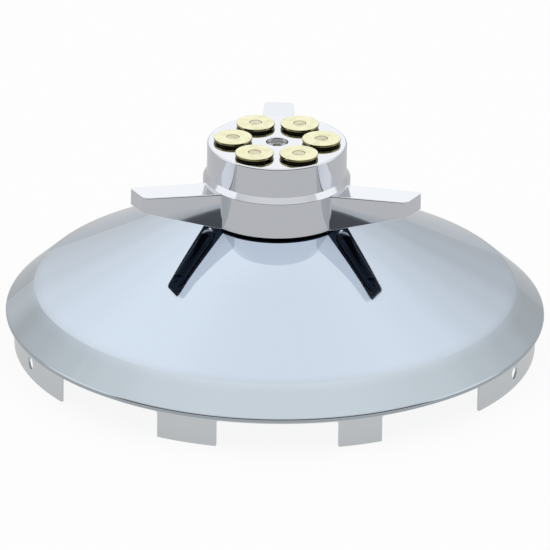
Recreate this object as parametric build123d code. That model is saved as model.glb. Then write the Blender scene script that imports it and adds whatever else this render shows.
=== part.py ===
from build123d import *
from math import cos, pi, radians, sin, sqrt, tan
import os

# Spinning hub cap for the front wheel hub of a heavy truck.
# A stamped chrome cap clips round the end of the wheel hub. A stud through its crown
# carries a three-bar die-cast spinner on two ball bearings, and on the spinner sits a
# round head holding six brass cartridge heads.
# Millimetres. Z is the wheel axis and points outward, away from the hub.
# Z = 0 is the free ends of the clip tabs, where the cap rests when it lies on a bench.

# Cap: one stamped sheet
sheet = 0.9
lip_bore_r = 107.15
hem_height = 12.8
hem_overhang = 3.55
hem_nose_r = 1.5
flange_angle = 42.3
flange_width = 11.8
cone_angle = 26.9
cone_width = 41.8
crown_angle = 15.0
plateau_r = 24.0
crease_round = 1.6
plateau_round = 2.5
lip_bend_round = 0.7
stud_hole_r = 4.2

# Clip tabs: what is left of the lip between the notches. Angles are from +X, and each notch and
# hole has a twin half a turn away.
notch_angles = ((-142.9, -115.4), (-101.9, -75.3), (-65.4, -38.6))
lip_band = 1.4
notch_round = 1.0
tab_round = 0.6
clip_hole_r = 2.6
clip_hole_height = 6.6
clip_hole_angles = (-157.5, -23.5)
twin_angles = (0, 180)

# Spinner body: one die casting
ring_r = 30.4
ring_height = 15.4
ring_wall = 2.6
ring_gap = 0.95
ring_edge = 0.45
shoulder_height = 2.5
deck = 3.0
boss_wall = 3.0
boss_gap = 0.8
web = 4.2
register_width = 2.6
register_height = 1.0
register_fit = 0.1
stud_room_r = 8.3
gusset_thickness = 2.4
gusset_depth = 7.0

# Spinner bars
bar_count = 3
bar_angle = 90.0
bar_reach = 65.7
bar_root_width = 14.4
bar_tip_width = 12.4
bar_tip_height = 6.8
bar_rise = 5.4
bar_corner_r = 1.8
bar_top_edge = 0.7
bar_low_edge = 0.5
channel_r = 6.2
channel_depth = 2.4
channel_rim = 1.4

# Head with the six cartridge pockets
head_r = 28.8
head_wall = 3.0
head_edge = 0.6
head_roof = 5.3
screw_recess_r = 4.5
screw_recess = 4.4

# Brass cartridge heads and primers
casing_count = 6
casing_circle_r = 18.2
rim_disc_r = 7.95
rim_disc = 1.0
rim_edge = 0.2
groove_r = 6.9
groove_height = 0.9
casing_r = 7.4
casing_depth = 4.2
casing_wall = 0.6
casing_web = 2.2
primer_r = 2.65
primer_depth = 2.6
primer_inset = 0.1
primer_wall = 0.5
flash_hole_r = 1.0

# Two ball bearings, 8 x 19 x 6
bearing_bore_r = 4.0
bearing_r = 9.5
bearing_width = 6.0
ball_count = 7
ball_r = 1.75
ball_circle_r = 6.75
raceway_clear = 0.04
inner_land_r = 5.6
outer_land_r = 7.9
cage_r = 5.95
cage_outer_r = 7.5
cage_height = 4.5
shield = 0.3
shield_inset = 0.1
shield_clear = 0.15
bearing_spacer = 1.5
spacer_clear = 0.3

# Stud, collar, washers, nut and rings
collar_flange_r = 9.0
collar_flange = 1.0
collar_r = 5.3
collar_height = 3.7
stud_head_r = 6.0
stud_head = 2.5
stud_socket_r = 2.9
stud_socket = 1.6
stud_head_clear = 0.6
stud_end = 1.6
stud_edge = 0.5
seal_r = 12.0
seal = 0.8
backing_washer_r = 16.0
backing_washer = 2.0
lock_washer_r = 6.6
lock_washer = 1.6
lock_washer_gap = 1.4
nut_flats = 13.0
nut_height = 6.5
nut_chamfer = 0.7
circlip = 1.0
circlip_width = 1.6
circlip_ear_r = 1.3
circlip_hole_r = 0.65
circlip_groove = 0.5
circlip_gap_angle = 50.0
circlip_fit = 0.05
screw_r = 2.5
screw_head_r = 4.25
screw_head = 2.8
screw_socket_r = 1.75
screw_socket = 1.5
screw_fit = 0.05
screw_edge = 0.25


on_end = (Align.CENTER, Align.CENTER, Align.MIN)


def turned(*points, sweep=360):
    """A solid of revolution about Z from its (radius, height) corners."""
    return revolve(Plane.XZ * make_face(Polyline(*points, close=True)), Axis.Z, sweep)


def tube(inner_r, outer_r, low, high):
    """A plain ring between two heights."""
    return turned((inner_r, low), (outer_r, low), (outer_r, high), (inner_r, high))


def rod(radius, low, high):
    """A plain round bar between two heights."""
    return Pos(0, 0, low) * Cylinder(radius, high - low, align=on_end)


def around(angle, shape):
    """The shape turned about Z."""
    return Rot(0, 0, angle) * shape


def joined(shapes):
    """One compound of separate solids."""
    return Compound(children=[solid for shape in shapes for solid in shape.solids()])


# Heights along the cap's outer face

lip_r = lip_bore_r + sheet
rim_r = lip_r + hem_overhang
crease_r = rim_r - flange_width
crown_start_r = crease_r - cone_width
nose_centre = (rim_r - hem_nose_r, hem_height + hem_nose_r)
flange_slope = radians(flange_angle)
cone_slope = radians(cone_angle)
crown_slope = radians(crown_angle)
flange_foot = (nose_centre[0] + hem_nose_r * sin(flange_slope),
               nose_centre[1] + hem_nose_r * cos(flange_slope))
crease_z = flange_foot[1] + (flange_foot[0] - crease_r) * tan(flange_slope)
crown_start_z = crease_z + (crease_r - crown_start_r) * tan(cone_slope)
crown_arc_r = (crown_start_r - plateau_r) / (sin(cone_slope) - sin(crown_slope))
crown_arc_centre = (crown_start_r - crown_arc_r * sin(cone_slope),
                    crown_start_z - crown_arc_r * cos(cone_slope))


def crown_point(slope, depth=0.0):
    """The point of the crown arc where it has this slope, or one below it inside the sheet."""
    radius = crown_arc_r - depth
    return (crown_arc_centre[0] + radius * sin(slope), crown_arc_centre[1] + radius * cos(slope))


def crown_height(radius):
    """Height of the cap's outer face inside the crown arc."""
    return crown_arc_centre[1] + sqrt(crown_arc_r ** 2 - (radius - crown_arc_centre[0]) ** 2)


plateau_z = crown_height(plateau_r)

# Heights of the stack on the stud
collar_top = plateau_z + collar_height
lower_bearing_z = collar_top
spacer_z = lower_bearing_z + bearing_width
upper_bearing_z = spacer_z + bearing_spacer
stack_top = upper_bearing_z + bearing_width
web_z = stack_top + stud_head + stud_head_clear
boss_top = web_z + web
boss_bottom = plateau_z + boss_gap
boss_r = bearing_r + boss_wall
inside_z = plateau_z - sheet
backing_z = inside_z - seal
lock_z = backing_z - backing_washer
nut_z = lock_z - lock_washer

# Heights of the ring and the head
ring_low = crown_height(ring_r) + ring_gap
ring_high = ring_low + ring_height
deck_top = ring_high + shoulder_height
head_top = boss_top + head_roof
ring_bore_r = ring_r - ring_wall
head_bore_r = head_r - head_wall


def cap_shell():
    """The stamped cap: plateau, crown, cone, flange, folded hem and the clip lip."""
    plateau_turn = tan(crown_slope / 2)
    crease_turn = tan((flange_slope - cone_slope) / 2)
    arc_mid = (crown_slope + cone_slope) / 2
    nose_angle = (flange_slope + pi) / 2
    outer_nose = (nose_centre[0] + hem_nose_r * sin(nose_angle),
                  nose_centre[1] + hem_nose_r * cos(nose_angle))
    fold_r = hem_nose_r - sheet
    inner_nose = (nose_centre[0] + fold_r * sin(nose_angle),
                  nose_centre[1] + fold_r * cos(nose_angle))
    inner_foot = (nose_centre[0] + fold_r * sin(flange_slope),
                  nose_centre[1] + fold_r * cos(flange_slope))
    inner_crease = (crease_r - sheet * sin(cone_slope) - sheet * cos(cone_slope) * crease_turn,
                    crease_z - sheet * cos(cone_slope) + sheet * sin(cone_slope) * crease_turn)
    inner_plateau = (plateau_r - sheet * plateau_turn, plateau_z - sheet)
    outline = [
        Line((stud_hole_r, plateau_z), (plateau_r, plateau_z)),
        ThreePointArc((plateau_r, plateau_z), crown_point(arc_mid), crown_point(cone_slope)),
        Line(crown_point(cone_slope), (crease_r, crease_z)),
        Line((crease_r, crease_z), flange_foot),
        ThreePointArc(flange_foot, outer_nose, (nose_centre[0], hem_height)),
        Line((nose_centre[0], hem_height), (lip_r, hem_height)),
        Line((lip_r, hem_height), (lip_r, 0)),
        Line((lip_r, 0), (lip_bore_r, 0)),
        Line((lip_bore_r, 0), (lip_bore_r, hem_height + sheet)),
        Line((lip_bore_r, hem_height + sheet), (nose_centre[0], hem_height + sheet)),
        ThreePointArc((nose_centre[0], hem_height + sheet), inner_nose, inner_foot),
        Line(inner_foot, inner_crease),
        Line(inner_crease, crown_point(cone_slope, sheet)),
        ThreePointArc(crown_point(cone_slope, sheet), crown_point(arc_mid, sheet), inner_plateau),
        Line(inner_plateau, (stud_hole_r, plateau_z - sheet)),
        Line((stud_hole_r, plateau_z - sheet), (stud_hole_r, plateau_z)),
    ]
    section = make_face(outline)
    rounds = (
        ((plateau_r, plateau_z), plateau_round + sheet),
        (inner_plateau, plateau_round),
        ((crease_r, crease_z), crease_round + sheet),
        (inner_crease, crease_round),
        ((lip_r, hem_height), lip_bend_round),
        ((lip_bore_r, hem_height + sheet), lip_bend_round + sheet),
    )
    for corner, radius in rounds:
        nearest = section.vertices().sort_by_distance((*corner, 0))[0]
        section = fillet(nearest, radius)
    shell = revolve(Plane.XZ * section, Axis.Z)
    for start, end in notch_angles:
        for twin in twin_angles:
            shell -= around(twin, notch(start, end))
    level = shell.edges().filter_by(GeomType.LINE).filter_by(Plane.XY)
    tab_corners = [edge for edge in level if edge.center().Z < tab_round]
    shell = fillet(tab_corners, tab_round)
    for angle in clip_hole_angles:
        for twin in twin_angles:
            shell -= around(angle + twin, clip_drill())
    return shell


def notch(start, end):
    """The piece cut out of the lip between two angles, with rounded upper corners."""
    top = hem_height - lip_band
    inner, outer = lip_bore_r - sheet, lip_r + sheet
    cut = turned((inner, -sheet), (outer, -sheet), (outer, top), (inner, top), sweep=end - start)
    level = cut.edges().filter_by(GeomType.LINE).filter_by(Plane.XY)
    return around(start, fillet([edge for edge in level if edge.center().Z > 0], notch_round))


def clip_drill():
    """A radial drill through the lip at +X for a fixing screw."""
    start = Pos(lip_bore_r - sheet, 0, clip_hole_height) * Rot(0, 90, 0)
    return start * Cylinder(clip_hole_r, 3 * sheet, align=on_end)


def bar():
    """One spinner bar along +X, tapered in plan and height, with a round-ended channel below."""
    foot_r = sqrt((ring_r - ring_wall / 2) ** 2 - (bar_root_width / 2) ** 2)
    tip_high = ring_high + bar_rise
    tip_low = tip_high - bar_tip_height
    low_slope = (tip_low - ring_low - ring_edge) / (bar_reach - ring_r)
    foot_low = ring_low + ring_edge - low_slope * (ring_r - foot_r)
    plan = make_face(Polyline(
        (foot_r, -bar_root_width / 2), (bar_reach, -bar_tip_width / 2),
        (bar_reach, bar_tip_width / 2), (foot_r, bar_root_width / 2), close=True))
    plan = fillet(plan.vertices().sort_by(Axis.X)[-2:], bar_corner_r)
    side = make_face(Polyline(
        (foot_r, foot_low), (bar_reach, tip_low), (bar_reach, tip_high), (foot_r, ring_high),
        close=True))
    blank = extrude(Pos(0, 0, foot_low) * plan, tip_high - foot_low)
    blank &= extrude(Plane.XZ * side, bar_root_width, both=True)
    top = blank.faces().filter_by(GeomType.PLANE).sort_by(Axis.Z)[-1]
    blank = fillet(top.edges().sort_by(Axis.X)[1:], bar_top_edge)
    low = blank.faces().filter_by(GeomType.PLANE).sort_by(Axis.Z)[0]
    blank = fillet(low.edges().sort_by(Axis.X)[1:], bar_low_edge)
    return blank - channel(low_slope)


def channel(slope):
    """The tool that hollows a bar's underside: a rod with round ends, sunk along the lower face."""
    sink = channel_r - channel_depth
    half_width = sqrt(channel_r ** 2 - sink ** 2)
    start_r = ring_r + channel_rim + half_width
    end_r = bar_reach - channel_rim - half_width
    line_low = ring_low + ring_edge - sink
    start = Vector(start_r, 0, line_low + slope * (start_r - ring_r))
    end = Vector(end_r, 0, line_low + slope * (end_r - ring_r))
    along = Plane(origin=start, z_dir=end - start)
    body = along * Cylinder(channel_r, (end - start).length, align=on_end)
    return body + Pos(*start) * Sphere(channel_r) + Pos(*end) * Sphere(channel_r)


def spinner_body():
    """The casting: ring with a slanted lower edge, deck, bearing boss, gussets and three bars."""
    edge_r = ring_r - ring_edge
    edge_z = crown_height(edge_r) + ring_gap
    bore_low = crown_height(ring_bore_r) + ring_gap
    deck_low = deck_top - deck
    register_r = head_bore_r - register_fit
    register_top = deck_top + register_height
    snap_r = bearing_r + circlip_groove
    snap_low = lower_bearing_z - circlip - circlip_fit
    body = turned(
        (ring_r, edge_z + ring_edge), (ring_r, ring_high), (head_r, deck_top), (register_r, deck_top),
        (register_r, register_top), (register_r - register_width, register_top),
        (register_r - register_width, deck_top), (boss_r, deck_top), (boss_r, boss_top),
        (screw_r + screw_fit, boss_top), (screw_r + screw_fit, web_z), (stud_room_r, web_z),
        (stud_room_r, stack_top), (bearing_r, stack_top), (bearing_r, lower_bearing_z),
        (snap_r, lower_bearing_z), (snap_r, snap_low), (bearing_r, snap_low),
        (bearing_r, boss_bottom), (boss_r, boss_bottom), (boss_r, deck_low), (ring_bore_r, deck_low),
        (ring_bore_r, bore_low), (edge_r, edge_z))
    under_ring = turned(
        (0, ring_low - deck), (edge_r, ring_low - deck), (edge_r, edge_z + ring_edge),
        (ring_bore_r, bore_low + ring_edge), (0, bore_low + ring_edge))
    gusset_start = boss_r - boss_wall / 2
    gusset_end = ring_r - ring_wall / 2
    gusset = Pos(gusset_start, 0, deck_low - gusset_depth) * Box(
        gusset_end - gusset_start, gusset_thickness, gusset_depth + deck / 2,
        align=(Align.MIN, Align.CENTER, Align.MIN))
    for turn in range(bar_count):
        angle = bar_angle + turn * 360 / bar_count
        body += around(angle, bar() - under_ring)
        body += around(angle, gusset)
    return body


def cylinder_head():
    """The round head: a deep cup upside down, with six cartridge pockets and the screw recess."""
    head = turned(
        (head_bore_r, deck_top), (head_r, deck_top), (head_r, head_top), (0, head_top),
        (0, boss_top), (head_bore_r, boss_top))
    rim = head.edges().filter_by(GeomType.CIRCLE).group_by(Axis.Z)[-1]
    head = fillet(rim, head_edge)
    for place in casing_places():
        head -= place * rod(casing_r, head_top - casing_depth, head_top)
    head -= rod(screw_recess_r, head_top - screw_recess, head_top)
    return head - rod(screw_r + screw_fit, boss_top, head_top)


def casing_places():
    """Where the cartridge heads stand, counted from +X."""
    step = 360 / casing_count
    return [Rot(0, 0, turn * step) * Pos(casing_circle_r, 0, 0) for turn in range(casing_count)]


def casing():
    """A cut brass cartridge head: rim, extractor groove, short wall, primer pocket, flash hole."""
    groove_top = head_top + groove_height
    top = groove_top + rim_disc
    foot = head_top - casing_depth
    web_low = top - primer_depth - casing_web
    inner_r = casing_r - casing_wall
    return turned(
        (casing_r, foot), (casing_r, head_top), (groove_r, head_top), (groove_r, groove_top),
        (rim_disc_r - rim_edge, groove_top), (rim_disc_r, groove_top + rim_edge),
        (rim_disc_r, top - rim_edge), (rim_disc_r - rim_edge, top), (primer_r, top),
        (primer_r, top - primer_depth), (flash_hole_r, top - primer_depth), (flash_hole_r, web_low),
        (inner_r, web_low), (inner_r, foot))


def primer():
    """A primer cup, open below, just under flush with the cartridge head."""
    seat = head_top + groove_height + rim_disc - primer_depth
    top = head_top + groove_height + rim_disc - primer_inset
    edge = primer_wall / 2
    inner_r = primer_r - primer_wall
    return turned(
        (0, top), (primer_r - edge, top), (primer_r, top - edge), (primer_r, seat),
        (inner_r, seat), (inner_r, top - primer_wall), (0, top - primer_wall))


def hex_prism(across_flats, low, high):
    """A hexagonal prism between two heights."""
    hexagon = RegularPolygon(across_flats / 2, 6, major_radius=False)
    return extrude(Pos(0, 0, low) * hexagon, high - low)


def centre_screw():
    """The socket screw that holds the head down on the boss of the spinner."""
    seat = head_top - screw_recess
    top = seat + screw_head
    screw = turned(
        (0, web_z), (screw_r, web_z), (screw_r, seat), (screw_head_r, seat),
        (screw_head_r, top - screw_edge), (screw_head_r - screw_edge, top), (0, top))
    return screw - hex_prism(2 * screw_socket_r, top - screw_socket, top)


def stud():
    """The fixed stud: socket head on top, plain through the bearings, threaded end inside the cap."""
    end = nut_z - nut_height - stud_end
    top = stack_top + stud_head
    pin = turned(
        (0, end), (bearing_bore_r - stud_edge, end), (bearing_bore_r, end + stud_edge),
        (bearing_bore_r, stack_top), (stud_head_r, stack_top), (stud_head_r, top - stud_edge),
        (stud_head_r - stud_edge, top), (0, top))
    return pin - hex_prism(2 * stud_socket_r, top - stud_socket, top)


def neck_collar():
    """The flanged collar that stands on the plateau and carries the lower inner race."""
    flange_top = plateau_z + collar_flange
    return turned(
        (stud_hole_r, plateau_z), (collar_flange_r, plateau_z), (collar_flange_r, flange_top),
        (collar_r, flange_top), (collar_r, collar_top), (stud_hole_r, collar_top))


def raceway(low):
    """The torus that cuts a ball groove into either race of a bearing."""
    return Pos(0, 0, low + bearing_width / 2) * Torus(ball_circle_r, ball_r + raceway_clear)


def inner_race(low):
    """The race that grips the stud."""
    return tube(bearing_bore_r, inner_land_r, low, low + bearing_width) - raceway(low)


def outer_race(low):
    """The race pressed into the spinner's boss."""
    return tube(outer_land_r, bearing_r, low, low + bearing_width) - raceway(low)


def ball_places(low):
    """Ball centres of the bearing that starts at this height."""
    first = Pos(ball_circle_r, 0, low + bearing_width / 2)
    return [Rot(0, 0, turn * 360 / ball_count) * first for turn in range(ball_count)]


def balls(low):
    """The loose balls of one bearing."""
    return joined([place * Sphere(ball_r) for place in ball_places(low)])


def cage(low):
    """The one-piece cage: a ring drilled through for each ball."""
    middle = low + bearing_width / 2
    ring = tube(cage_r, cage_outer_r, middle - cage_height / 2, middle + cage_height / 2)
    for place in ball_places(low):
        ring -= place * Rot(0, 90, 0) * Cylinder(ball_r + raceway_clear, 2 * ball_r)
    return ring


def shields():
    """The thin rings that close both bearings, top and bottom, held by the outer races."""
    rings = []
    for low in (lower_bearing_z, upper_bearing_z):
        for foot in (low + shield_inset, low + bearing_width - shield_inset - shield):
            rings.append(tube(inner_land_r + shield_clear, outer_land_r, foot, foot + shield))
    return joined(rings)


def bore_circlip():
    """The open retaining ring under the lower outer race, with two drilled ears."""
    low = lower_bearing_z - circlip
    outer = bearing_r + circlip_groove - circlip_fit
    inner = outer - circlip_width
    ring = turned((inner, low), (outer, low), (outer, lower_bearing_z), (inner, lower_bearing_z),
                  sweep=360 - circlip_gap_angle)
    ring = around(circlip_gap_angle / 2, ring)
    for side in (-1, 1):
        place = Rot(0, 0, side * circlip_gap_angle / 2) * Pos(inner, side * circlip_ear_r, 0)
        ring += place * rod(circlip_ear_r, low, lower_bearing_z)
        ring -= place * rod(circlip_hole_r, low, lower_bearing_z)
    return ring


def lock_washer_ring():
    """A split spring washer, shown flat as it is when the nut is tight."""
    ring = tube(stud_hole_r, lock_washer_r, nut_z, lock_z)
    return ring - Pos(lock_washer_r, 0, nut_z) * Box(lock_washer_r, lock_washer_gap, 2 * lock_washer)


def mounting_nut():
    """The hexagon nut inside the cap, chamfered on both faces."""
    low = nut_z - nut_height
    corner_r = nut_flats / 2 / cos(pi / 6)
    drop = nut_chamfer * tan(pi / 6)
    envelope = turned(
        (bearing_bore_r, low), (corner_r - nut_chamfer, low), (corner_r, low + drop),
        (corner_r, nut_z - drop), (corner_r - nut_chamfer, nut_z), (bearing_bore_r, nut_z))
    return envelope & hex_prism(nut_flats, low, nut_z)


nodes = {
    "cap_shell": cap_shell(),
    "sealing_washer": tube(stud_hole_r, seal_r, backing_z, inside_z),
    "backing_washer": tube(stud_hole_r, backing_washer_r, lock_z, backing_z),
    "lock_washer": lock_washer_ring(),
    "mounting_nut": mounting_nut(),
    "neck_collar": neck_collar(),
    "stud": stud(),
    "lower_inner_race": inner_race(lower_bearing_z),
    "lower_outer_race": outer_race(lower_bearing_z),
    "lower_balls": balls(lower_bearing_z),
    "lower_cage": cage(lower_bearing_z),
    "upper_inner_race": inner_race(upper_bearing_z),
    "upper_outer_race": outer_race(upper_bearing_z),
    "upper_balls": balls(upper_bearing_z),
    "upper_cage": cage(upper_bearing_z),
    "inner_spacer": tube(bearing_bore_r, inner_land_r - spacer_clear, spacer_z, upper_bearing_z),
    "outer_spacer": tube(outer_land_r + spacer_clear, bearing_r, spacer_z, upper_bearing_z),
    "bearing_shields": shields(),
    "bore_circlip": bore_circlip(),
    "spinner_body": spinner_body(),
    "cylinder_head": cylinder_head(),
    "centre_screw": centre_screw(),
}
for number, place in enumerate(casing_places(), start=1):
    nodes["casing_" + str(number)] = place * casing()
    nodes["primer_" + str(number)] = place * primer()

os.makedirs("parts", exist_ok=True)
for name, shape in nodes.items():
    export_step(shape, "parts/" + name + ".step")
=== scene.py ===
# Spinning hub cap for the front hub of a truck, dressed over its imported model.
# Metres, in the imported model's own frame. Sizes with a millimetre meaning are written times mm.
import math

import bmesh
import bpy
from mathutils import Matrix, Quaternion, Vector


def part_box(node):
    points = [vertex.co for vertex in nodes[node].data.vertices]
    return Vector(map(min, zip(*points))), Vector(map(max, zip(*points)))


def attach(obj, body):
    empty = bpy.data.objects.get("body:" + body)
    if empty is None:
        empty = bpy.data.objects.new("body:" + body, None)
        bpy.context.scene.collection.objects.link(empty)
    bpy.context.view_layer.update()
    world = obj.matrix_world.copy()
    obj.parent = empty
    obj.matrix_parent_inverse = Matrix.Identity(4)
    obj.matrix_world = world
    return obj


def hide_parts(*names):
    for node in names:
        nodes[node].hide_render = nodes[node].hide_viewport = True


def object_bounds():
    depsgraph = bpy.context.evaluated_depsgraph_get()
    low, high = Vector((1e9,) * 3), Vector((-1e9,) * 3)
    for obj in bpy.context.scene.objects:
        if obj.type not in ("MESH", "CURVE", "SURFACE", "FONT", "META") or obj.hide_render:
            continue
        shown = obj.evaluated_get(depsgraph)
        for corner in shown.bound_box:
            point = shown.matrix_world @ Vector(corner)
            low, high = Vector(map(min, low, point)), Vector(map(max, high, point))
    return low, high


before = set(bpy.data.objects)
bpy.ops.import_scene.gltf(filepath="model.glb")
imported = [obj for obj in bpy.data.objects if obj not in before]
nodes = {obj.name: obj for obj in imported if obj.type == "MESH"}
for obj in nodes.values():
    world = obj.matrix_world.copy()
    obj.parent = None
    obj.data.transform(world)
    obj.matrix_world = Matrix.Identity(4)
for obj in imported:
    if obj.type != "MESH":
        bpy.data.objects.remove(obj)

mm = 0.001
solid_low, solid_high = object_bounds()


# Cap shell
# One sheet of 0.9 mm steel pressed into a cone with a flat top. Its rim is folded under to a round
# hem, and the lip inside it is notched into spring tabs, four of them drilled. Buffed and chromed,
# its chrome colour carrying painted reflection tones.
sheet = 0.9 * mm
lip_bore_r = 107.15 * mm
lip_r = lip_bore_r + sheet
rim_r = solid_high.x
hem_height = 12.8 * mm
hem_round = 1.5 * mm
flange_slope = math.radians(42.3)
cone_slope = math.radians(26.9)
crown_slope = math.radians(15)
crease_r = rim_r - 11.8 * mm
crown_start_r = crease_r - 41.8 * mm
plateau_r = 24 * mm
plateau_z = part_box("cap_shell")[1].z
stud_hole_r = 4.2 * mm
plateau_round = 3.4 * mm
crease_round = 2.5 * mm
lip_round = 0.7 * mm
lip_edge = 0.12 * mm
hem_steps = 20
fold_steps = 12
crown_steps = 12

hem_centre = Vector((rim_r - hem_round, hem_height + hem_round))
flange_foot = hem_centre + hem_round * Vector((math.sin(flange_slope), math.cos(flange_slope)))
crease_z = flange_foot.y + (flange_foot.x - crease_r) * math.tan(flange_slope)
crown_start_z = crease_z + (crease_r - crown_start_r) * math.tan(cone_slope)
crown_arc_r = (crown_start_r - plateau_r) / (math.sin(cone_slope) - math.sin(crown_slope))


def soft_outline(corners, arc_step=math.radians(6)):
    """The points of a closed outline of (x, y, round) corners, with an arc at each round one."""
    points = []
    for number, (x, y, round_r) in enumerate(corners):
        corner = Vector((x, y))
        if round_r == 0:
            points.append(corner)
            continue
        before = (Vector(corners[number - 1][:2]) - corner).normalized()
        after = (Vector(corners[(number + 1) % len(corners)][:2]) - corner).normalized()
        half_angle = before.angle(after) / 2
        centre = corner + (before + after).normalized() * round_r / math.sin(half_angle)
        start = corner + before * round_r / math.tan(half_angle) - centre
        end = corner + after * round_r / math.tan(half_angle) - centre
        steps = max(2, math.ceil((math.pi - 2 * half_angle) / arc_step))
        for step in range(steps + 1):
            share = step / steps
            points.append(centre + (start * (1 - share) + end * share).normalized() * round_r)
    return points


def new_piece(name, mesh_data):
    """A scene object at the origin with a finished bmesh in it, its faces turned outwards."""
    bmesh.ops.recalc_face_normals(mesh_data, faces=mesh_data.faces)
    if mesh_data.calc_volume(signed=True) < 0:
        bmesh.ops.reverse_faces(mesh_data, faces=mesh_data.faces)
    mesh = bpy.data.meshes.new(name)
    mesh_data.to_mesh(mesh)
    mesh_data.free()
    piece = bpy.data.objects.new(name, mesh)
    bpy.context.scene.collection.objects.link(piece)
    return piece


def turned(name, outline, sides=288):
    """A closed outline of (radius, height) points turned about the wheel's axis."""
    work = bmesh.new()
    angles = [2 * math.pi * side / sides for side in range(sides)]
    rings = []
    for radius, height in outline:
        if radius < 1e-7:
            rings.append([work.verts.new((0, 0, height))] * sides)
        else:
            rings.append([work.verts.new((radius * math.cos(angle), radius * math.sin(angle), height))
                          for angle in angles])
    for here, there in zip(rings, rings[1:] + rings[:1]):
        for side in range(sides):
            after = (side + 1) % sides
            loop = dict.fromkeys((here[side], here[after], there[after], there[side]))
            if len(loop) > 2:
                work.faces.new(loop)
    return new_piece(name, work)


def settled(piece):
    """Turns a piece with its modifiers into a plain mesh."""
    depsgraph = bpy.context.evaluated_depsgraph_get()
    mesh = bpy.data.meshes.new_from_object(
        piece.evaluated_get(depsgraph), preserve_all_data_layers=True, depsgraph=depsgraph)
    piece.modifiers.clear()
    piece.data = mesh
    mesh.name = piece.name
    return piece


def cut(piece, tool, operation="DIFFERENCE"):
    """Cuts one closed piece with another, or joins them, and throws the tool away."""
    modifier = piece.modifiers.new("cut", "BOOLEAN")
    modifier.operation = operation
    modifier.solver = "EXACT"
    modifier.object = tool
    settled(piece)
    bpy.data.objects.remove(tool)
    return piece


bevel_angle = math.radians(50)
sharp_angle = math.radians(32)


def dressed(piece, material, body, replaced, edge_round=0.0):
    """Rounds the sharp edges, smooths the shading, and puts the piece in place of its nodes."""
    if edge_round:
        bevel = piece.modifiers.new("edges", "BEVEL")
        bevel.width = edge_round
        bevel.segments = 2
        bevel.angle_limit = bevel_angle
        settled(piece)
    for face in piece.data.polygons:
        face.use_smooth = True
    piece.data.set_sharp_from_angle(angle=sharp_angle)
    weighted = piece.modifiers.new("normals", "WEIGHTED_NORMAL")
    weighted.weight = 100
    weighted.keep_sharp = True
    settled(piece)
    piece.data.materials.clear()
    piece.data.materials.append(material)
    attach(piece, body)
    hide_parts(*replaced)
    return piece


def crown_height(radius, depth=0.0):
    """Height of the cap's face between the plateau and the cone, or of the face below it."""
    centre_r = crown_start_r - crown_arc_r * math.sin(cone_slope)
    centre_z = crown_start_z - crown_arc_r * math.cos(cone_slope)
    return centre_z + math.sqrt((crown_arc_r - depth) ** 2 - (radius - centre_r) ** 2)


def arc(centre, radius, start, end, steps):
    """Points on an arc, with angles measured from straight up towards the rim."""
    turn = [start + (end - start) * step / steps for step in range(steps + 1)]
    return [(centre.x + radius * math.sin(angle), centre.y + radius * math.cos(angle), 0) for angle in turn]


crown_radii = [plateau_r + (crown_start_r - plateau_r) * step / crown_steps
               for step in range(1, crown_steps + 1)]
fold_r = hem_round - sheet
inward = sheet * math.sin(cone_slope)
inner_plateau_r = plateau_r - sheet * math.tan(crown_slope / 2)
inner_crease_r = crease_r - inward - sheet * math.cos(cone_slope) * math.tan((flange_slope - cone_slope) / 2)
inner_crease_z = (crown_height(crown_start_r - inward, sheet)
                  - (inner_crease_r - crown_start_r + inward) * math.tan(cone_slope))
outline = [(stud_hole_r, plateau_z, 0), (plateau_r, plateau_z, plateau_round)]
outline += [(radius, crown_height(radius), 0) for radius in crown_radii]
outline += [(crease_r, crease_z, crease_round)]
outline += arc(hem_centre, hem_round, flange_slope, math.pi, hem_steps)
outline += [(lip_r, hem_height, lip_round), (lip_r, 0, lip_edge), (lip_bore_r, 0, lip_edge),
            (lip_bore_r, hem_height + sheet, lip_round + sheet)]
outline += arc(hem_centre, fold_r, math.pi, flange_slope, fold_steps)
outline += [(inner_crease_r, inner_crease_z, crease_round - sheet)]
outline += [(radius - inward, crown_height(radius - inward, sheet), 0) for radius in reversed(crown_radii)]
outline += [(inner_plateau_r, plateau_z - sheet, plateau_round - sheet), (stud_hole_r, plateau_z - sheet, 0)]
cap = turned("cap", soft_outline(outline))

notches = ((-142.9, -115.4), (-101.9, -75.3), (-65.4, -38.6))
notch_top = hem_height - 1.4 * mm
notch_corner = 1.0 * mm
tab_corner = 0.6 * mm
hole_angles = (-157.5, -23.5)
hole_r = 2.6 * mm
hole_z = 6.6 * mm
tool_reach = 2 * mm
tool_overlap = 0.02 * mm
drill_length = 6 * mm
corner_steps = 6
notch_steps = 16


def quarter(radius):
    """Distance along and rise of a quarter round, from its low end to its high end."""
    turn = [math.pi / 2 * step / corner_steps for step in range(corner_steps + 1)]
    return [(radius * (1 - math.cos(angle)), radius * math.sin(angle)) for angle in turn]


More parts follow.
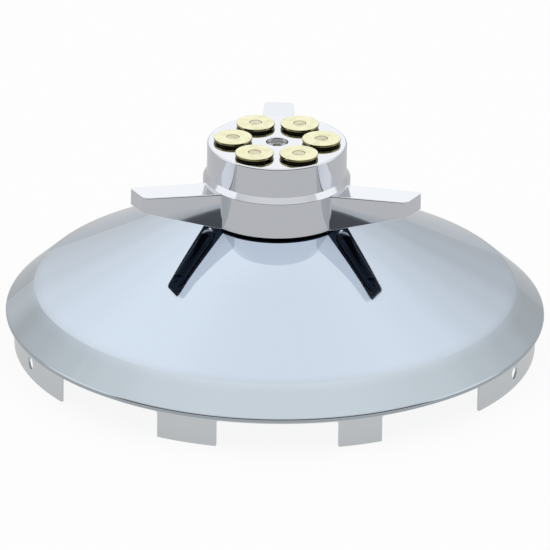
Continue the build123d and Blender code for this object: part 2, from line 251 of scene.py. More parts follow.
def notch_tool(start, end):
    """The block that cuts one notch, with rounds at its corners and at the tabs' free corners."""
    side = [(-tab_corner, -tool_overlap)]
    side += [(-tab_corner + along, tab_corner - math.sqrt(max(0, tab_corner ** 2 - along ** 2)))
             for along in [tab_corner * step / corner_steps for step in range(1, corner_steps + 1)]]
    side += [(along, notch_top - notch_corner + rise) for along, rise in quarter(notch_corner)]
    near = [(start + math.degrees(along / lip_r), height) for along, height in side]
    far = [(end - math.degrees(along / lip_r), height) for along, height in reversed(side)]
    middle = [(start + (end - start) * step / notch_steps, notch_top) for step in range(1, notch_steps)]
    work = bmesh.new()
    columns = []
    for angle, height in near + middle + far:
        outward = Vector((math.cos(math.radians(angle)), math.sin(math.radians(angle)), 0))
        columns.append([work.verts.new(outward * radius + Vector((0, 0, z))) for radius, z in (
            (lip_bore_r - tool_reach, -tool_reach), (lip_r + tool_reach, -tool_reach),
            (lip_r + tool_reach, height), (lip_bore_r - tool_reach, height))])
    for here, there in zip(columns, columns[1:]):
        for corner in range(4):
            after = (corner + 1) % 4
            work.faces.new((here[corner], here[after], there[after], there[corner]))
    work.faces.new(columns[0])
    work.faces.new(columns[-1])
    return new_piece("notch_tool", work)


def drill(angle):
    """The drill for one fixing hole through a tab."""
    work = bmesh.new()
    bmesh.ops.create_cone(work, cap_ends=True, segments=48, radius1=hole_r, radius2=hole_r,
                          depth=drill_length)
    turn = Quaternion((0, 0, 1), math.radians(angle)) @ Quaternion((0, 1, 0), math.pi / 2)
    out = Vector((math.cos(math.radians(angle)), math.sin(math.radians(angle)), 0)) * lip_r
    for vert in work.verts:
        vert.co = turn @ vert.co + out + Vector((0, 0, hole_z))
    return new_piece("drill", work)


for twin in (0, 180):
    for start, end in notches:
        cut(cap, notch_tool(start + twin, end + twin))
    for angle in hole_angles:
        cut(cap, drill(angle + twin))


def effect(name, inputs, outputs):
    """An empty shader group with named number inputs and outputs."""
    group = bpy.data.node_groups.new(name, "ShaderNodeTree")
    for label, value in inputs.items():
        socket = group.interface.new_socket(label, in_out="INPUT", socket_type="NodeSocketFloat")
        socket.default_value = value
    for label in outputs:
        group.interface.new_socket(label, in_out="OUTPUT", socket_type="NodeSocketFloat")
    return group


def step_in(tree, kind, links=None, **settings):
    """Adds a node, sets its properties, and gives its inputs a value or a link by name or number."""
    node = tree.nodes.new(kind)
    for label, value in settings.items():
        setattr(node, label, value)
    for key, value in (links or {}).items():
        if isinstance(value, bpy.types.NodeSocket):
            tree.links.new(value, node.inputs[key])
        else:
            node.inputs[key].default_value = value
    return node


def buffing():
    """Polish marks that run round the axis, and faint hazy patches left by handling."""
    group = effect("Buffing", {"Lines": 900.0, "Haze Size": 18.0, "Clean": 0.03, "Hazy": 0.08},
                   ("Roughness", "Height"))
    given = step_in(group, "NodeGroupInput").outputs
    place = step_in(group, "ShaderNodeTexCoord").outputs["Object"]
    parts = step_in(group, "ShaderNodeSeparateXYZ", {0: place}).outputs
    across = step_in(group, "ShaderNodeCombineXYZ", {"X": parts["X"], "Y": parts["Y"]}).outputs[0]
    radius = step_in(group, "ShaderNodeVectorMath", {0: across}, operation="LENGTH").outputs["Value"]
    wander = step_in(group, "ShaderNodeTexNoise", {"Vector": place, "Scale": 30.0}).outputs[0]
    drift = step_in(group, "ShaderNodeMath", {0: wander, 1: 0.004}, operation="MULTIPLY").outputs[0]
    track = step_in(group, "ShaderNodeMath", {0: radius, 1: drift}, operation="ADD").outputs[0]
    line = step_in(group, "ShaderNodeCombineXYZ", {"X": track, "Z": parts["Z"]}).outputs[0]
    marks = step_in(group, "ShaderNodeTexNoise", {"Vector": line, "Scale": given["Lines"], "Detail": 3.0})
    patch = step_in(group, "ShaderNodeTexNoise", {
        "Vector": place, "Scale": given["Haze Size"], "Detail": 5.0, "Roughness": 0.6})
    haze = step_in(group, "ShaderNodeMapRange", {
        "Value": patch.outputs[0], "From Min": 0.42, "From Max": 0.72, "To Min": given["Clean"],
        "To Max": given["Hazy"]}, interpolation_type="SMOOTHSTEP").outputs[0]
    grain = step_in(group, "ShaderNodeMath", {0: marks.outputs[0], 1: 0.02}, operation="MULTIPLY").outputs[0]
    rough = step_in(group, "ShaderNodeMath", {0: haze, 1: grain}, operation="ADD").outputs[0]
    step_in(group, "NodeGroupOutput", {"Roughness": rough, "Height": marks.outputs[0]})
    return group


def surface(name, colour, roughness=0.3, metallic=1):
    """A new material, its tree and its shader. It is a metal unless told otherwise."""
    material = bpy.data.materials.new(name)
    material.use_nodes = True
    shader = material.node_tree.nodes["Principled BSDF"]
    shader.inputs["Base Color"].default_value = (*colour, 1)
    shader.inputs["Metallic"].default_value = metallic
    shader.inputs["Roughness"].default_value = roughness
    return material, material.node_tree, shader


def placed(tree, group, **values):
    """Puts an effect in a material with its own values."""
    node = step_in(tree, "ShaderNodeGroup", node_tree=group)
    for label, value in values.items():
        node.inputs[label.replace("_", " ")].default_value = value
    return node.outputs


buffed = buffing()


def chrome(name, colour, depth, **values):
    """Buffed chrome: the plate's colour, how deep its polish marks are, and the effect's values."""
    material, tree, shader = surface(name, colour)
    marks = placed(tree, buffed, **values)
    tree.links.new(marks["Roughness"], shader.inputs["Roughness"])
    relief = step_in(tree, "ShaderNodeBump", {"Strength": 1.0, "Distance": depth, "Height": marks["Height"]})
    tree.links.new(relief.outputs[0], shader.inputs["Normal"])
    return material


def tinted(material, mask, colour):
    """Lays a colour over a material's own where the mask, made in the material's tree, is one."""
    tree = material.node_tree
    base = tree.nodes["Principled BSDF"].inputs["Base Color"]
    under = base.links[0].from_socket if base.is_linked else tuple(base.default_value)
    blend = step_in(tree, "ShaderNodeMix", {0: mask, 6: under, 7: (*colour, 1)}, data_type="RGBA")
    tree.links.new(blend.outputs[2], base)


# The crown's chrome colour is tinted blue, a painted reflection.
dome_chrome_blue_reflection = (0.594, 0.674, 0.773)
flange_grey_reflection_colour = (0.505, 0.565, 0.615)
lip_pale_reflection_colour = (0.78, 0.81, 0.83)
flange_blend = 4 * mm
lip_blend = 0.5 * mm
shell_chrome = chrome("sheet chrome", dome_chrome_blue_reflection, 0.0004 * mm, Lines=700, Haze_Size=14, Clean=0.03,
                      Hazy=0.07)
shell_tree = shell_chrome.node_tree
shell_place = step_in(shell_tree, "ShaderNodeTexCoord").outputs["Object"]
shell_parts = step_in(shell_tree, "ShaderNodeSeparateXYZ", {0: shell_place}).outputs
shell_across = step_in(shell_tree, "ShaderNodeCombineXYZ", {
    "X": shell_parts["X"], "Y": shell_parts["Y"]}).outputs[0]
shell_radius = step_in(shell_tree, "ShaderNodeVectorMath", {0: shell_across},
                       operation="LENGTH").outputs["Value"]
on_flange = step_in(shell_tree, "ShaderNodeMapRange", {
    "Value": shell_radius, "From Min": crease_r - flange_blend, "From Max": crease_r + flange_blend},
    interpolation_type="SMOOTHSTEP").outputs[0]
on_lip = step_in(shell_tree, "ShaderNodeMapRange", {
    "Value": shell_parts["Z"], "From Min": hem_height + lip_blend, "From Max": hem_height}).outputs[0]
# The flange band outside the crease is tinted greyer, a painted reflection tone.
tinted(shell_chrome, on_flange, flange_grey_reflection_colour)
# The lip and tabs below the hem are tinted pale, a painted reflection of the bright floor.
tinted(shell_chrome, on_lip, lip_pale_reflection_colour)
dressed(cap, shell_chrome, "root", ("cap_shell",), edge_round=0.1 * mm)


# Spinner
# One zinc die casting, polished and chromed: a ring that stands just clear of the crown, the boss for
# the bearings inside it, and three tapered bars that rise outwards, with hollowed undersides.
ring_r = 30.4 * mm
ring_wall = 2.6 * mm
ring_edge = 0.45 * mm
ring_gap = 0.95 * mm
ring_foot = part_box("spinner_body")[0].z
deck_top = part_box("cylinder_head")[0].z
ring_top = deck_top - 2.5 * mm
deck = 3.0 * mm
head_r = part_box("cylinder_head")[1].x
head_bore_r = head_r - 3.0 * mm
boss_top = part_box("spinner_body")[1].z
bearing_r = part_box("lower_outer_race")[1].x
bearing_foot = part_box("lower_outer_race")[0].z
bearing_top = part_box("upper_outer_race")[1].z
boss_r = bearing_r + 3.0 * mm
boss_foot = plateau_z + 0.8 * mm
boss_web = boss_top - 4.2 * mm
register_r = head_bore_r - 0.1 * mm
snap_r = bearing_r + 0.5 * mm
snap_foot = bearing_foot - 1.05 * mm
screw_hole_r = 2.55 * mm
fine_edge = 0.25 * mm
joint_edge = 0.06 * mm
ring_top_edge = 0.5 * mm
register_inner_r = register_r - 2.6 * mm
register_top = deck_top + 1.0 * mm
web_bore_r = 8.3 * mm

ring = turned("spinner", soft_outline([
    (ring_r, ring_foot + ring_edge, fine_edge), (ring_r, ring_top, ring_top_edge),
    (head_r, deck_top, joint_edge), (register_r, deck_top, 0), (register_r, register_top, fine_edge),
    (register_inner_r, register_top, fine_edge), (register_inner_r, deck_top, fine_edge),
    (boss_r, deck_top, fine_edge), (boss_r, boss_top, fine_edge), (screw_hole_r, boss_top, 0),
    (screw_hole_r, boss_web, 0), (web_bore_r, boss_web, 0), (web_bore_r, bearing_top, 0),
    (bearing_r, bearing_top, 0), (bearing_r, bearing_foot, 0), (snap_r, bearing_foot, 0),
    (snap_r, snap_foot, 0), (bearing_r, snap_foot, 0), (bearing_r, boss_foot, fine_edge),
    (boss_r, boss_foot, fine_edge),
    (boss_r, deck_top - deck, fine_edge), (ring_r - ring_wall, deck_top - deck, fine_edge),
    (ring_r - ring_wall, crown_height(ring_r - ring_wall) + ring_gap, fine_edge),
    (ring_r - ring_edge, ring_foot, fine_edge)]), sides=240)

bar_reach = 65.7 * mm
bar_root_r = 28.2 * mm
bar_root_width = 14.4 * mm
bar_tip_width = 12.4 * mm
bar_tip_height = 6.8 * mm
bar_rise = 5.4 * mm
bar_tip_round = 1.8 * mm
bar_top_edge = 0.7 * mm
bar_low_edge = 0.5 * mm
channel_r = 6.2 * mm
channel_depth = 2.4 * mm
channel_rim = 1.4 * mm
tip_top = ring_top + bar_rise
underside_start = crown_height(ring_r) + ring_gap + ring_edge
underside_slope = (tip_top - bar_tip_height - underside_start) / (bar_reach - ring_r)
topside_slope = bar_rise / (bar_reach - bar_root_r)


def underside(distance):
    """Height of a bar's lower face at a distance from the axis."""
    return underside_start + underside_slope * (distance - ring_r)


def topside(distance):
    """Height of a bar's upper face at a distance from the axis."""
    return ring_top + topside_slope * (distance - bar_root_r)


def bar_blank():
    """A bar along +X: a tapered block with round tip corners, its long edges rounded."""
    plan = soft_outline([
        (bar_root_r, -bar_root_width / 2, 0), (bar_reach, -bar_tip_width / 2, bar_tip_round),
        (bar_reach, bar_tip_width / 2, bar_tip_round), (bar_root_r, bar_root_width / 2, 0)])
    work = bmesh.new()
    low = [work.verts.new((x, y, underside(x))) for x, y in plan]
    high = [work.verts.new((x, y, topside(x))) for x, y in plan]
    work.faces.new(low)
    work.faces.new(high)
    for number in range(len(plan)):
        after = (number + 1) % len(plan)
        work.faces.new((low[number], low[after], high[after], high[number]))
    for loop, edge_round in ((high, bar_top_edge), (low, bar_low_edge)):
        edges = [edge for edge in work.edges
                 if set(edge.verts) <= set(loop) and max(vert.co.x for vert in edge.verts) > bar_root_r + mm]
        rounded = bmesh.ops.bevel(work, geom=edges, offset=edge_round, segments=5, profile=0.5,
                                  affect="EDGES", clamp_overlap=True)
        assert rounded["faces"]
        high = [vert for vert in high if vert.is_valid]
        low = [vert for vert in low if vert.is_valid]
    return new_piece("bars", work)


def channel_tool():
    """The round-ended rod that hollows a bar's underside."""
    sink = channel_r - channel_depth
    half_width = math.sqrt(channel_r ** 2 - sink ** 2)
    ends = [Vector((distance, 0, underside(distance) - sink)) for distance in (
        ring_r + channel_rim + half_width, bar_reach - channel_rim - half_width)]
    along = (ends[1] - ends[0]).to_track_quat("Z", "Y")
    length = (ends[1] - ends[0]).length
    end_steps = 16
    turns = [math.pi / 2 * step / end_steps for step in range(end_steps + 1)]
    profile = [(channel_r * math.sin(turn), -channel_r * math.cos(turn)) for turn in turns]
    profile += [(channel_r * math.cos(turn), length + channel_r * math.sin(turn)) for turn in turns]
    tool = turned("channel_tool", profile, sides=96)
    for vert in tool.data.vertices:
        vert.co = along @ vert.co + ends[0]
    return tool


def about_axis():
    """A tree that sets copies of a piece round the wheel's axis and gives them their material."""
    tree = bpy.data.node_groups.new("Copies about the axis", "GeometryNodeTree")
    tree.interface.new_socket("Piece", in_out="INPUT", socket_type="NodeSocketGeometry")
    for label, kind, value in (("Count", "NodeSocketInt", 6), ("Circle Radius", "NodeSocketFloat", 0.0),
                               ("First Angle", "NodeSocketFloat", 0.0)):
        tree.interface.new_socket(label, in_out="INPUT", socket_type=kind).default_value = value
    tree.interface.new_socket("Material", in_out="INPUT", socket_type="NodeSocketMaterial")
    tree.interface.new_socket("Copies", in_out="OUTPUT", socket_type="NodeSocketGeometry")
    given = step_in(tree, "NodeGroupInput").outputs
    own_place = step_in(tree, "GeometryNodeInputPosition").outputs[0]
    marked = step_in(tree, "GeometryNodeStoreNamedAttribute", {
        "Geometry": given["Piece"], "Name": "own place", "Value": own_place}, data_type="FLOAT_VECTOR")
    share = step_in(tree, "ShaderNodeMath", {0: math.tau, 1: given["Count"]}, operation="DIVIDE").outputs[0]
    number = step_in(tree, "GeometryNodeInputIndex").outputs[0]
    angle = step_in(tree, "ShaderNodeMath", {0: number, 1: share, 2: given["First Angle"]},
                    operation="MULTIPLY_ADD").outputs[0]
    x = step_in(tree, "ShaderNodeMath", {0: angle}, operation="COSINE").outputs[0]
    y = step_in(tree, "ShaderNodeMath", {0: angle}, operation="SINE").outputs[0]
    outward = step_in(tree, "ShaderNodeCombineXYZ", {"X": x, "Y": y}).outputs[0]
    spot = step_in(tree, "ShaderNodeVectorMath", {0: outward, "Scale": given["Circle Radius"]},
                   operation="SCALE")
    points = step_in(tree, "GeometryNodePoints", {"Count": given["Count"], "Position": spot.outputs[0]})
    turn = step_in(tree, "ShaderNodeCombineXYZ", {"Z": angle}).outputs[0]
    copies = step_in(tree, "GeometryNodeInstanceOnPoints", {
        "Points": points.outputs[0], "Instance": marked.outputs[0], "Rotation": turn})
    real = step_in(tree, "GeometryNodeRealizeInstances", {"Geometry": copies.outputs[0]})
    coated = step_in(tree, "GeometryNodeSetMaterial", {
        "Geometry": real.outputs[0], "Material": given["Material"]})
    step_in(tree, "NodeGroupOutput", {"Copies": coated.outputs[0]})
    return tree


copies_tree = about_axis()


def set_round(piece, count, material=None, circle_r=0.0, first_angle=0.0):
    """Runs the tree on a piece and keeps the copies as one plain mesh."""
    modifier = piece.modifiers.new("copies", "NODES")
    modifier.node_group = copies_tree
    sockets = {item.name: item.identifier for item in copies_tree.interface.items_tree
               if item.in_out == "INPUT"}
    modifier[sockets["Count"]] = count
    modifier[sockets["Circle Radius"]] = circle_r
    modifier[sockets["First Angle"]] = first_angle
    modifier[sockets["Material"]] = material
    return settled(piece)


cast_colour = (0.70, 0.72, 0.76)
underside_shade_colour = (0.022, 0.028, 0.04)
cast_chrome = chrome("cast chrome", cast_colour, 0.0005 * mm, Lines=900, Haze_Size=40, Clean=0.03,
                     Hazy=0.08)
cast_tree = cast_chrome.node_tree
cast_facing = step_in(cast_tree, "ShaderNodeTexCoord").outputs["Normal"]
cast_down = step_in(cast_tree, "ShaderNodeSeparateXYZ", {0: cast_facing}).outputs["Z"]
# Faces turned downwards, under the bars and the ring, are tinted near-black navy: painted shade.
below = step_in(cast_tree, "ShaderNodeMapRange", {
    "Value": cast_down, "From Min": -0.45, "From Max": -0.6}, interpolation_type="SMOOTHSTEP").outputs[0]
tinted(cast_chrome, below, underside_shade_colour)
bars = set_round(cut(bar_blank(), channel_tool()), 3, cast_chrome, first_angle=math.radians(90))
spinner = cut(ring, bars, "UNION")
dressed(spinner, cast_chrome, "spinner", ("spinner_body",))


# Cylinder head
# A deep cup, turned upside down on the spinner's deck and chromed. Its top carries six pockets for the
# brass heads and a round recess for the screw that holds it down.
head_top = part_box("cylinder_head")[1].z
pocket_r = 7.4 * mm
pocket_depth = 4.2 * mm
pocket_circle_r = 18.2 * mm
recess_r = 4.5 * mm
recess_depth = 4.4 * mm
head_top_edge = 0.8 * mm
recess_foot_edge = 0.15 * mm
head_bore_edge = 0.6 * mm
head = turned("head", soft_outline([
    (head_bore_r, deck_top, fine_edge), (head_r, deck_top, joint_edge), (head_r, head_top, head_top_edge),
    (recess_r, head_top, fine_edge), (recess_r, head_top - recess_depth, recess_foot_edge),
    (screw_hole_r, head_top - recess_depth, 0), (screw_hole_r, boss_top, 0),
    (head_bore_r, boss_top, head_bore_edge)]), sides=240)
pocket = turned("pocket", soft_outline([
    (0, head_top - pocket_depth, 0), (pocket_r, head_top - pocket_depth, 0), (pocket_r, head_top + mm, 0),
    (0, head_top + mm, 0)]), sides=96)
cut(head, set_round(pocket, 6, circle_r=pocket_circle_r))
head_chrome = chrome("head chrome", cast_colour, 0.0005 * mm, Lines=1200, Haze_Size=45, Clean=0.05,
                     Hazy=0.08)
dressed(head, head_chrome, "spinner", ("cylinder_head",))


# Brass heads
# Six cut cartridge heads of drawn brass, pressed into the pockets: a short wall, the groove, and the
# rim with a flat turned face. The faces are bare, with only the marks of the lathe.
casing_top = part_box("casing_1")[1].z
casing_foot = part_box("casing_1")[0].z
rim_disc_r = 7.95 * mm
groove_r = 6.9 * mm
rim_foot = head_top + 0.9 * mm
primer_r = 2.65 * mm
primer_depth = 2.6 * mm
flash_r = 1.0 * mm
web_foot = casing_top - primer_depth - 2.2 * mm
casing_wall_r = pocket_r - 0.6 * mm
casing_edge = 0.1 * mm
groove_slant = 0.05 * mm
rim_low_edge = 0.15 * mm
rim_top_edge = 0.22 * mm
primer_hole_edge = 0.12 * mm
web_round = 0.3 * mm
casings = turned("brass_heads", soft_outline([
    (pocket_r, casing_foot, casing_edge), (pocket_r, head_top - groove_slant, casing_edge),
    (groove_r, head_top + groove_slant, casing_edge), (groove_r, rim_foot, casing_edge),
    (rim_disc_r, rim_foot, rim_low_edge), (rim_disc_r, casing_top, rim_top_edge),
    (primer_r, casing_top, primer_hole_edge), (primer_r, casing_top - primer_depth, 0),
    (flash_r, casing_top - primer_depth, 0), (flash_r, web_foot, 0), (casing_wall_r, web_foot, web_round),
    (casing_wall_r, casing_foot, casing_edge)], arc_step=math.radians(18)), sides=112)


def turning():
    """Rings left by a lathe tool on each copy's own face, from its own centre."""
    group = effect("Turning marks", {"Ring Size": 2600.0}, ("Height",))
    given = step_in(group, "NodeGroupInput").outputs
    place = step_in(group, "ShaderNodeAttribute", attribute_name="own place").outputs["Vector"]
    parts = step_in(group, "ShaderNodeSeparateXYZ", {0: place}).outputs
    across = step_in(group, "ShaderNodeCombineXYZ", {"X": parts["X"], "Y": parts["Y"]}).outputs[0]
    radius = step_in(group, "ShaderNodeVectorMath", {0: across}, operation="LENGTH").outputs["Value"]
    line = step_in(group, "ShaderNodeCombineXYZ", {"X": radius, "Z": parts["Z"]}).outputs[0]
    rings = step_in(group, "ShaderNodeTexNoise", {"Vector": line, "Scale": given["Ring Size"], "Detail": 2.0})
    step_in(group, "NodeGroupOutput", {"Height": rings.outputs[0]})
    return group


turned_marks = turning()
# Near black: a painted shadow in the groove under each cartridge rim.
groove_shadow_colour = (0.03, 0.028, 0.02)
tone_blend = 0.05 * mm


def brass(name, colour, dull_colour, side_shade_colour, face_foot, ring_depth, rough):
    """Turned brass with patches that have dulled in the air, painted darker below the face as painted shade,
    and near black below the rim as a painted shadow.
    """
    material, tree, shader = surface(name, colour, rough)
    place = step_in(tree, "ShaderNodeTexCoord").outputs["Object"]
    patches = step_in(tree, "ShaderNodeTexNoise", {"Vector": place, "Scale": 260.0, "Detail": 4.0})
    dulled = step_in(tree, "ShaderNodeMapRange", {
        "Value": patches.outputs[0], "From Min": 0.4, "From Max": 0.75}, interpolation_type="SMOOTHSTEP")
    tinted(material, dulled.outputs[0], dull_colour)
    height = step_in(tree, "ShaderNodeSeparateXYZ", {0: place}).outputs["Z"]
    # Painted shade on the side below the face, then a painted shadow below the rim's foot.
    for foot, shade_colour in ((face_foot, side_shade_colour), (rim_foot, groove_shadow_colour)):
        shade_below_foot = step_in(tree, "ShaderNodeMapRange", {
            "Value": height, "From Min": foot + tone_blend, "From Max": foot - tone_blend}).outputs[0]
        tinted(material, shade_below_foot, shade_colour)
    patchy = step_in(tree, "ShaderNodeMapRange", {
        "Value": dulled.outputs[0], "To Min": rough, "To Max": rough + 0.12})
    tree.links.new(patchy.outputs[0], shader.inputs["Roughness"])
    marks = placed(tree, turned_marks, Ring_Size=2600)
    relief = step_in(tree, "ShaderNodeBump", {
        "Strength": 1.0, "Distance": ring_depth, "Height": marks["Height"]})
    tree.links.new(relief.outputs[0], shader.inputs["Normal"])
    return material


# The olive side colour is painted shade on the rim's side.
casing_brass = brass("cartridge brass", (0.76, 0.745, 0.50), (0.67, 0.65, 0.41), (0.26, 0.24, 0.10),
                     casing_top - 0.15 * mm, 0.003 * mm, 0.14)
set_round(casings, 6, casing_brass, pocket_circle_r)
dressed(casings, casing_brass, "spinner", ["casing_%d" % number for number in range(1, 7)])


# Primers
# A small brass cup pressed into each cartridge head, closed side out and a hair below the face.
# It stays in its hole by its tight fit.
primer_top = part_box("primer_1")[1].z
primer_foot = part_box("primer_1")[0].z
primer_wall = 0.5 * mm
primer_outer_r = primer_r - 0.02 * mm
primer_cup_r = primer_r - primer_wall
primers = turned("primers", soft_outline([
    (0, primer_top, 0), (primer_outer_r, primer_top, 0.35 * mm), (primer_outer_r, primer_foot, 0),
    (primer_cup_r, primer_foot, 0), (primer_cup_r, primer_top - primer_wall, 0.2 * mm),
    (0, primer_top - primer_wall, 0)]), sides=64)
# The near-black side colour is painted shade in the gap round each primer.
primer_brass = brass("primer brass", (0.60, 0.56, 0.40), (0.46, 0.40, 0.28), (0.05, 0.045, 0.03),
                     primer_top - 0.12 * mm, 0.002 * mm, 0.22)
set_round(primers, 6, primer_brass, pocket_circle_r)
dressed(primers, primer_brass, "spinner", ["primer_%d" % number for number in range(1, 7)])


# Centre screw
# A zinc-plated steel screw with a six-sided socket, in the head's recess. It goes through the head
# into the spinner's boss and holds the head down.
screw_seat = head_top - recess_depth
screw_head_top = screw_seat + 2.8 * mm
screw_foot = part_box("centre_screw")[0].z
screw_head_r = 4.25 * mm
screw_r = 2.5 * mm
socket_r = 1.75 * mm / math.cos(math.pi / 6)
socket_depth = 1.5 * mm
screw = turned("centre_screw_piece", soft_outline([
    (0, screw_foot, 0), (screw_r, screw_foot, 0.3 * mm), (screw_r, screw_seat, 0),
    (screw_head_r, screw_seat, 0.1 * mm), (screw_head_r, screw_head_top, 0.25 * mm), (0, screw_head_top, 0)]),
    sides=96)


def key_socket(radius, floor, top):
    """The six-sided tool that cuts a screw's socket, with a drill point at its foot."""
    return turned("key", [(0, floor - radius * 0.3), (radius, floor), (radius, top + mm), (0, top + mm)],
                  sides=6)


cut(screw, key_socket(socket_r, screw_head_top - socket_depth, screw_head_top))


def grained(name, colour, texture, scale, smooth, rough, metallic=1, **values):
    """A plain surface whose roughness wanders between two values with a fine texture."""
    material, tree, shader = surface(name, colour, metallic=metallic)
    place = step_in(tree, "ShaderNodeTexCoord").outputs["Object"]
    grain = step_in(tree, texture, {"Vector": place, "Scale": scale, **values})
    wander = step_in(tree, "ShaderNodeMapRange", {
        "Value": grain.outputs[0], "To Min": smooth, "To Max": rough})
    tree.links.new(wander.outputs[0], shader.inputs["Roughness"])
    return material


zinc = grained("zinc plate", (0.62, 0.62, 0.60), "ShaderNodeTexVoronoi", 900.0, 0.24, 0.42)
dressed(screw, zinc, "spinner", ("centre_screw",))


# Stud, washers and nut
# The fixed steel stud runs from the boss down through the crown. Inside the cap a rubber seal, a
# backing washer, a spring washer and a nut hold it. All but the seal are plated like the screw.
rubber, rubber_tree, rubber_shader = surface("seal rubber", (0.02, 0.02, 0.02), 0.75, metallic=0)
rubber_place = step_in(rubber_tree, "ShaderNodeTexCoord").outputs["Object"]
rubber_grain = step_in(rubber_tree, "ShaderNodeTexNoise", {"Vector": rubber_place, "Scale": 2000.0})
rubber_relief = step_in(rubber_tree, "ShaderNodeBump", {
    "Strength": 0.4, "Distance": 0.02 * mm, "Height": rubber_grain.outputs[0]})
rubber_tree.links.new(rubber_relief.outputs[0], rubber_shader.inputs["Normal"])


def painted(names, material):
    """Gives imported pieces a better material."""
    for name in names:
        piece = nodes[name]
        if piece.material_slots:
            piece.material_slots[0].material = material
        else:
            piece.data.materials.append(material)


painted(("stud", "neck_collar", "backing_washer", "lock_washer", "mounting_nut"), zinc)
painted(("sealing_washer",), rubber)


# Bearings
# Two ball bearings of ground steel with nylon cages and thin shields, a spacer between their races,
# and the black retaining ring below them in the boss.
ground, ground_tree, ground_shader = surface("ground steel", (0.60, 0.61, 0.62), 0.18)
ground_marks = placed(ground_tree, buffed, Lines=3000, Haze_Size=60, Clean=0.12, Hazy=0.22)
ground_tree.links.new(ground_marks["Roughness"], ground_shader.inputs["Roughness"])
black_steel = grained("black oxide steel", (0.05, 0.05, 0.055), "ShaderNodeTexNoise", 1500.0, 0.25, 0.45,
                      Detail=4.0)
nylon = grained("cage nylon", (0.30, 0.14, 0.06), "ShaderNodeTexNoise", 1200.0, 0.4, 0.6, metallic=0)
painted(("lower_inner_race", "lower_outer_race", "lower_balls", "upper_inner_race", "upper_outer_race",
         "upper_balls", "inner_spacer", "outer_spacer", "bearing_shields"), ground)
painted(("lower_cage", "upper_cage"), nylon)
painted(("bore_circlip",), black_steel)


# Floor
# A pale sheet under the part, far larger than the view. It shows white to the camera, dimmer to the
# chrome and dark in front, and a small part of it takes light, so that it keeps the part's faint shadow.
floor_size = 3.0
floor_white = 1.0
floor_in_chrome = 0.60
floor_dark_from = -0.35
floor_dark_to = -0.60
floor_dark = 0.08
floor_lit_share = 0.10
floor_work = bmesh.new()
bmesh.ops.create_grid(floor_work, x_segments=1, y_segments=1, size=floor_size)
floor = new_piece("floor", floor_work)
floor_material = bpy.data.materials.new("floor paper")
floor_material.use_nodes = True
floor_tree = floor_material.node_tree
floor_tree.nodes.clear()
floor_rays = step_in(floor_tree, "ShaderNodeLightPath").outputs
in_metal = step_in(floor_tree, "ShaderNodeMath", {
    0: floor_rays["Is Glossy Ray"], 1: floor_rays["Is Transmission Ray"]}, operation="MAXIMUM").outputs[0]
floor_place = step_in(floor_tree, "ShaderNodeTexCoord").outputs["Object"]
forward = step_in(floor_tree, "ShaderNodeSeparateXYZ", {0: floor_place}).outputs["Y"]
dimming = step_in(floor_tree, "ShaderNodeMapRange", {
    "Value": forward, "From Min": floor_dark_to, "From Max": floor_dark_from, "To Min": floor_dark,
    "To Max": floor_in_chrome}, interpolation_type="SMOOTHSTEP").outputs[0]
metal_glow = step_in(floor_tree, "ShaderNodeMath", {0: in_metal, 1: dimming}, operation="MULTIPLY").outputs[0]
seen_glow = step_in(floor_tree, "ShaderNodeMath", {
    0: floor_rays["Is Camera Ray"], 1: floor_white, 2: metal_glow}, operation="MULTIPLY_ADD").outputs[0]
paper_glow = step_in(floor_tree, "ShaderNodeEmission", {"Color": (1, 1, 1, 1), "Strength": seen_glow})
paper = step_in(floor_tree, "ShaderNodeBsdfDiffuse", {"Color": (0.9, 0.9, 0.9, 1)})
shown = step_in(floor_tree, "ShaderNodeMath", {0: floor_rays["Is Camera Ray"], 1: in_metal},
                operation="MAXIMUM").outputs[0]
glow_share = step_in(floor_tree, "ShaderNodeMath", {0: shown, 1: 1 - floor_lit_share},
                     operation="MULTIPLY").outputs[0]
paper_mix = step_in(floor_tree, "ShaderNodeMixShader", {
    0: glow_share, 1: paper.outputs[0], 2: paper_glow.outputs[0]})
step_in(floor_tree, "ShaderNodeOutputMaterial", {"Surface": paper_mix.outputs[0]})
floor.data.materials.append(floor_material)


# Light
# A soft white tent, brighter on the left, dim near the horizon and dark in a low band in front. One
# bright panel stands behind the part, and one to each side of it.
world = bpy.data.worlds.new("tent")
bpy.context.scene.world = world
world.use_nodes = True
tent = world.node_tree
tent.nodes.clear()
direction = step_in(tent, "ShaderNodeTexCoord").outputs["Generated"]
heading = step_in(tent, "ShaderNodeSeparateXYZ", {0: direction}).outputs


def levels(measure, stops):
    """Brightness by a direction's part along one axis, from (part, level) stops."""
    share = step_in(tent, "ShaderNodeMath", {0: measure, 1: 0.5, 2: 0.5}, operation="MULTIPLY_ADD").outputs[0]
    ramp_node = step_in(tent, "ShaderNodeValToRGB", {0: share})
    ramp = ramp_node.color_ramp
    ramp.interpolation = "EASE"
    for number, (part, level) in enumerate(stops):
        stop = ramp.elements[number] if number < 2 else ramp.elements.new(1)
        stop.position = (part + 1) / 2
        stop.color = (level, level, level, 1)
    return ramp_node.outputs[0]


def window(measure, low, high, soft):
    """One between two values, and zero past a soft edge on either side."""
    rise = step_in(tent, "ShaderNodeMapRange", {"Value": measure, "From Min": low - soft, "From Max": low},
                   interpolation_type="SMOOTHSTEP").outputs[0]
    fall = step_in(tent, "ShaderNodeMapRange", {"Value": measure, "From Min": high + soft, "From Max": high},
                   interpolation_type="SMOOTHSTEP").outputs[0]
    return step_in(tent, "ShaderNodeMath", {0: rise, 1: fall}, operation="MULTIPLY").outputs[0]


def lit(under, mask, level):
    """Puts a brighter or darker patch, a number or another ramp, over the tent."""
    over = level if isinstance(level, bpy.types.NodeSocket) else (level, level, level, 1)
    return step_in(tent, "ShaderNodeMix", {0: mask, 6: under, 7: over}, data_type="RGBA").outputs[2]


def both(first, second):
    """Where two masks meet."""
    return step_in(tent, "ShaderNodeMath", {0: first, 1: second}, operation="MULTIPLY").outputs[0]


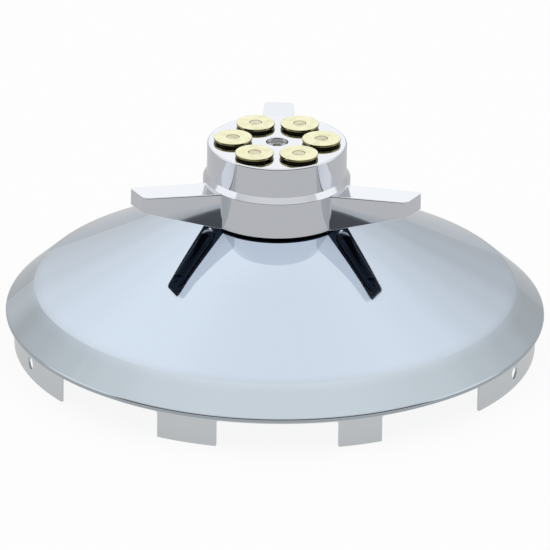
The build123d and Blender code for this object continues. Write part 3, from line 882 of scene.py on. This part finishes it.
left = levels(heading["Z"], ((-0.3, 0.62), (0, 0.72), (0.22, 0.84), (0.41, 0.97), (0.59, 1.06), (0.74, 1.12),
                             (0.87, 1.12), (1, 1.04)))
right = levels(heading["Z"], ((-0.3, 0.60), (0, 0.58), (0.22, 0.65), (0.41, 0.78), (0.59, 0.90), (0.74, 1.02),
                              (0.87, 1.07), (1, 1.04)))
front = levels(heading["Z"], ((-0.3, 0.60), (0, 0.60), (0.45, 0.72), (0.66, 0.86), (0.82, 1.08), (0.93, 1.12),
                              (1, 1.04)))
right_side = levels(heading["X"], ((-0.65, 1), (-0.48, 0), (-0.1, 0), (0.1, 1)))
front_side = step_in(tent, "ShaderNodeMapRange", {"Value": heading["Y"], "From Min": 0.05, "From Max": -0.25},
                     interpolation_type="SMOOTHSTEP").outputs[0]
slant = step_in(tent, "ShaderNodeMath", {0: heading["X"], 1: heading["Y"]}, operation="DIVIDE").outputs[0]
sideways = step_in(tent, "ShaderNodeMath", {0: heading["Y"], 1: heading["X"]}, operation="DIVIDE").outputs[0]
behind = window(heading["Y"], 0.05, 2, 0.05)
facing = window(heading["Y"], -2, -0.45, 0.15)
panel = both(both(window(slant, -0.14, 0.14, 0.12), behind), window(heading["Z"], 0.2, 0.66, 0.07))
side_panels = both(window(sideways, -0.3, 0.3, 0.1), window(heading["Z"], 0.15, 0.6, 0.06))
dark_band = both(facing, window(heading["Z"], -0.2, 0.36, 0.08))
in_view = step_in(tent, "ShaderNodeLightPath").outputs["Is Camera Ray"]
panel_level = 1.2
band_level = 0.12
seen_level = 1.0
tent_light = lit(left, right_side, right)
for mask, level in ((front_side, front), (panel, panel_level), (side_panels, panel_level),
                    (dark_band, band_level), (in_view, seen_level)):
    tent_light = lit(tent_light, mask, level)
glow = step_in(tent, "ShaderNodeBackground", {"Color": tent_light, "Strength": 1.0})
step_in(tent, "ShaderNodeOutputWorld", {"Surface": glow.outputs[0]})


# Camera
# A long lens, a little above the cap and a hair to its right, rolled a hair. Its angles, its target
# and its scale were fitted to the photograph.
camera_elevation = math.radians(23.7)
camera_azimuth = math.radians(0.5)
camera_distance = 4.0
camera_roll = math.radians(0.75)
camera_target = Vector((-0.17 * mm, 0, 29.79 * mm))
pixels_per_metre = 2415.5
picture_pixels = 550
camera_data = bpy.data.cameras.new("camera")
camera_data.sensor_width = 36
camera_data.lens = camera_data.sensor_width * pixels_per_metre * camera_distance / picture_pixels
camera_data.clip_end = 100
camera = bpy.data.objects.new("camera", camera_data)
bpy.context.scene.collection.objects.link(camera)
towards_camera = Vector((
    math.sin(camera_azimuth) * math.cos(camera_elevation),
    -math.cos(camera_azimuth) * math.cos(camera_elevation), math.sin(camera_elevation)))
camera.location = camera_target + towards_camera * camera_distance
camera.rotation_mode = "QUATERNION"
camera.rotation_quaternion = (
    (-towards_camera).to_track_quat("-Z", "Y") @ Quaternion((0, 0, 1), camera_roll))
bpy.context.scene.camera = camera
bpy.context.scene.view_settings.view_transform = "Standard"
